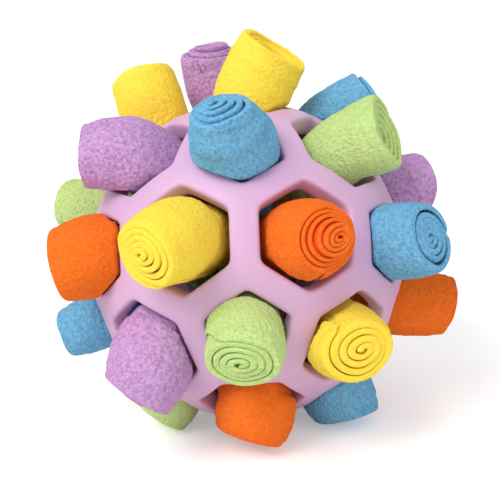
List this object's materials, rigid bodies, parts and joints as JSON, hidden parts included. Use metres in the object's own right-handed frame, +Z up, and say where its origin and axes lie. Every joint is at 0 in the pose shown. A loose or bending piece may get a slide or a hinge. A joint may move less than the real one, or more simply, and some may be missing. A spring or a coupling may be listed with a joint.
{
  "type": "dog snuffle ball",
  "caption": "Ball-shaped snuffle toy for dogs: a hollow rubber cage whose openings hold rolled fleece strips that hide treats and pull out along their own axes.",
  "frame": {"origin": "on the ground under the middle of the ball's outline, where the pressed rolls stand", "axes": "+Z up; -Y towards the side with a five-sided opening at half height, from which the picture is taken; +X to the right in that view"},
  "size_m": [0.1432, 0.149, 0.1364],
  "materials": {
    "lilac_rubber": "satin",
    "orange_fleece": "short pile",
    "yellow_fleece": "short pile",
    "blue_fleece": "short pile",
    "green_fleece": "short pile",
    "purple_fleece": "short pile"
  },
  "bodies": {
    "cage": {"rubber_cage": "lilac_rubber"},
    "roll_back": {"fleece_roll_back": "orange_fleece"},
    "roll_back_left": {"fleece_roll_back_left": "green_fleece"},
    "roll_back_left_high": {"fleece_roll_back_left_high": "orange_fleece"},
    "roll_back_left_low": {"fleece_roll_back_left_low": "blue_fleece"},
    "roll_back_right": {"fleece_roll_back_right": "purple_fleece"},
    "roll_back_right_high": {"fleece_roll_back_right_high": "yellow_fleece"},
    "roll_back_right_low": {"fleece_roll_back_right_low": "green_fleece"},
    "roll_back_top": {"fleece_roll_back_top": "purple_fleece"},
    "roll_back_top_left": {"fleece_roll_back_top_left": "yellow_fleece"},
    "roll_back_top_right": {"fleece_roll_back_top_right": "blue_fleece"},
    "roll_foot_back": {"fleece_roll_foot_back": "yellow_fleece"},
    "roll_foot_back_left": {"fleece_roll_foot_back_left": "yellow_fleece"},
    "roll_foot_back_right": {"fleece_roll_foot_back_right": "purple_fleece"},
    "roll_foot_front": {"fleece_roll_foot_front": "orange_fleece"},
    "roll_foot_front_left": {"fleece_roll_foot_front_left": "green_fleece"},
    "roll_foot_front_right": {"fleece_roll_foot_front_right": "blue_fleece"},
    "roll_foot_middle": {"fleece_roll_foot_middle": "blue_fleece"},
    "roll_front_left": {"fleece_roll_front_left": "yellow_fleece"},
    "roll_front_low": {"fleece_roll_front_low": "green_fleece"},
    "roll_front_right": {"fleece_roll_front_right": "orange_fleece"},
    "roll_front_top": {"fleece_roll_front_top": "blue_fleece"},
    "roll_left": {"fleece_roll_left": "orange_fleece"},
    "roll_low_left": {"fleece_roll_low_left": "purple_fleece"},
    "roll_low_right": {"fleece_roll_low_right": "yellow_fleece"},
    "roll_right": {"fleece_roll_right": "blue_fleece"},
    "roll_side_left_high": {"fleece_roll_side_left_high": "green_fleece"},
    "roll_side_left_low": {"fleece_roll_side_left_low": "blue_fleece"},
    "roll_side_right_high": {"fleece_roll_side_right_high": "purple_fleece"},
    "roll_side_right_low": {"fleece_roll_side_right_low": "orange_fleece"},
    "roll_top": {"fleece_roll_top": "yellow_fleece"},
    "roll_top_left": {"fleece_roll_top_left": "purple_fleece"},
    "roll_top_right": {"fleece_roll_top_right": "green_fleece"}
  },
  "joints": [
    {"name": "pull_back", "type": "slide", "parent": "cage", "child": "roll_back", "axis": [0.0483, 0.9652, 0.2571], "range_m": [0, 0.024]},
    {"name": "pull_back_left", "type": "slide", "parent": "cage", "child": "roll_back_left", "axis": [-0.2559, 0.8832, -0.393], "range_m": [0, 0.024]},
    {"name": "pull_back_left_high", "type": "slide", "parent": "cage", "child": "roll_back_left_high", "axis": [-0.6082, 0.6773, 0.4139], "range_m": [0, 0.024]},
    {"name": "pull_back_left_low", "type": "slide", "parent": "cage", "child": "roll_back_left_low", "axis": [-0.8574, 0.4362, -0.2733], "range_m": [0, 0.024]},
    {"name": "pull_back_right", "type": "slide", "parent": "cage", "child": "roll_back_right", "axis": [0.2608, 0.872, -0.4143], "range_m": [0, 0.024]},
    {"name": "pull_back_right_high", "type": "slide", "parent": "cage", "child": "roll_back_right_high", "axis": [0.6115, 0.6803, 0.4041], "range_m": [0, 0.024]},
    {"name": "pull_back_right_low", "type": "slide", "parent": "cage", "child": "roll_back_right_low", "axis": [0.8008, 0.538, -0.2633], "range_m": [0, 0.024]},
    {"name": "pull_back_top", "type": "slide", "parent": "cage", "child": "roll_back_top", "axis": [-0.0936, 0.5154, 0.8518], "range_m": [0, 0.024]},
    {"name": "pull_back_top_left", "type": "slide", "parent": "cage", "child": "roll_back_top_left", "axis": [-0.436, 0.3311, 0.8368], "range_m": [0, 0.024]},
    {"name": "pull_back_top_right", "type": "slide", "parent": "cage", "child": "roll_back_top_right", "axis": [0.6074, 0.2584, 0.7512], "range_m": [0, 0.024]},
    {"name": "pull_foot_back", "type": "slide", "parent": "cage", "child": "roll_foot_back", "axis": [0, 0.5296, -0.8483], "range_m": [0, 0.024]},
    {"name": "pull_foot_back_left", "type": "slide", "parent": "cage", "child": "roll_foot_back_left", "axis": [-0.4347, 0.2977, -0.8499], "range_m": [0, 0.024]},
    {"name": "pull_foot_back_right", "type": "slide", "parent": "cage", "child": "roll_foot_back_right", "axis": [0.4347, 0.2977, -0.8499], "range_m": [0, 0.024]},
    {"name": "pull_foot_front", "type": "slide", "parent": "cage", "child": "roll_foot_front", "axis": [-0.0358, -0.5009, -0.8647], "range_m": [0, 0.024]},
    {"name": "pull_foot_front_left", "type": "slide", "parent": "cage", "child": "roll_foot_front_left", "axis": [-0.456, -0.255, -0.8527], "range_m": [0, 0.024]},
    {"name": "pull_foot_front_right", "type": "slide", "parent": "cage", "child": "roll_foot_front_right", "axis": [0.5033, -0.2127, -0.8375], "range_m": [0, 0.024]},
    {"name": "pull_foot_middle", "type": "slide", "parent": "cage", "child": "roll_foot_middle", "axis": [0, 0, -1], "range_m": [0, 0.024]},
    {"name": "pull_front_left", "type": "slide", "parent": "cage", "child": "roll_front_left", "axis": [-0.3946, -0.9003, 0.1836], "range_m": [0, 0.024]},
    {"name": "pull_front_low", "type": "slide", "parent": "cage", "child": "roll_front_low", "axis": [-0.0672, -0.9757, -0.2085], "range_m": [0, 0.024]},
    {"name": "pull_front_right", "type": "slide", "parent": "cage", "child": "roll_front_right", "axis": [0.3496, -0.9064, 0.2373], "range_m": [0, 0.024]},
    {"name": "pull_front_top", "type": "slide", "parent": "cage", "child": "roll_front_top", "axis": [-0.0707, -0.6441, 0.7617], "range_m": [0, 0.024]},
    {"name": "pull_left", "type": "slide", "parent": "cage", "child": "roll_left", "axis": [-0.892, -0.4387, 0.1093], "range_m": [0, 0.024]},
    {"name": "pull_low_left", "type": "slide", "parent": "cage", "child": "roll_low_left", "axis": [-0.5033, -0.6908, -0.5192], "range_m": [0, 0.024]},
    {"name": "pull_low_right", "type": "slide", "parent": "cage", "child": "roll_low_right", "axis": [0.4624, -0.8623, -0.2064], "range_m": [0, 0.024]},
    {"name": "pull_right", "type": "slide", "parent": "cage", "child": "roll_right", "axis": [0.8411, -0.5106, 0.1785], "range_m": [0, 0.024]},
    {"name": "pull_side_left_high", "type": "slide", "parent": "cage", "child": "roll_side_left_high", "axis": [-0.9446, 0.1923, 0.2659], "range_m": [0, 0.024]},
    {"name": "pull_side_left_low", "type": "slide", "parent": "cage", "child": "roll_side_left_low", "axis": [-0.947, -0.1236, -0.2964], "range_m": [0, 0.024]},
    {"name": "pull_side_right_high", "type": "slide", "parent": "cage", "child": "roll_side_right_high", "axis": [0.9223, 0.197, 0.3325], "range_m": [0, 0.024]},
    {"name": "pull_side_right_low", "type": "slide", "parent": "cage", "child": "roll_side_right_low", "axis": [0.98, -0.0635, -0.1885], "range_m": [0, 0.024]},
    {"name": "pull_top", "type": "slide", "parent": "cage", "child": "roll_top", "axis": [0.2061, -0.0072, 0.9785], "range_m": [0, 0.024]},
    {"name": "pull_top_left", "type": "slide", "parent": "cage", "child": "roll_top_left", "axis": [-0.7234, -0.3441, 0.5986], "range_m": [0, 0.024]},
    {"name": "pull_top_right", "type": "slide", "parent": "cage", "child": "roll_top_right", "axis": [0.7318, -0.3034, 0.6103], "range_m": [0, 0.024]}
  ]
}
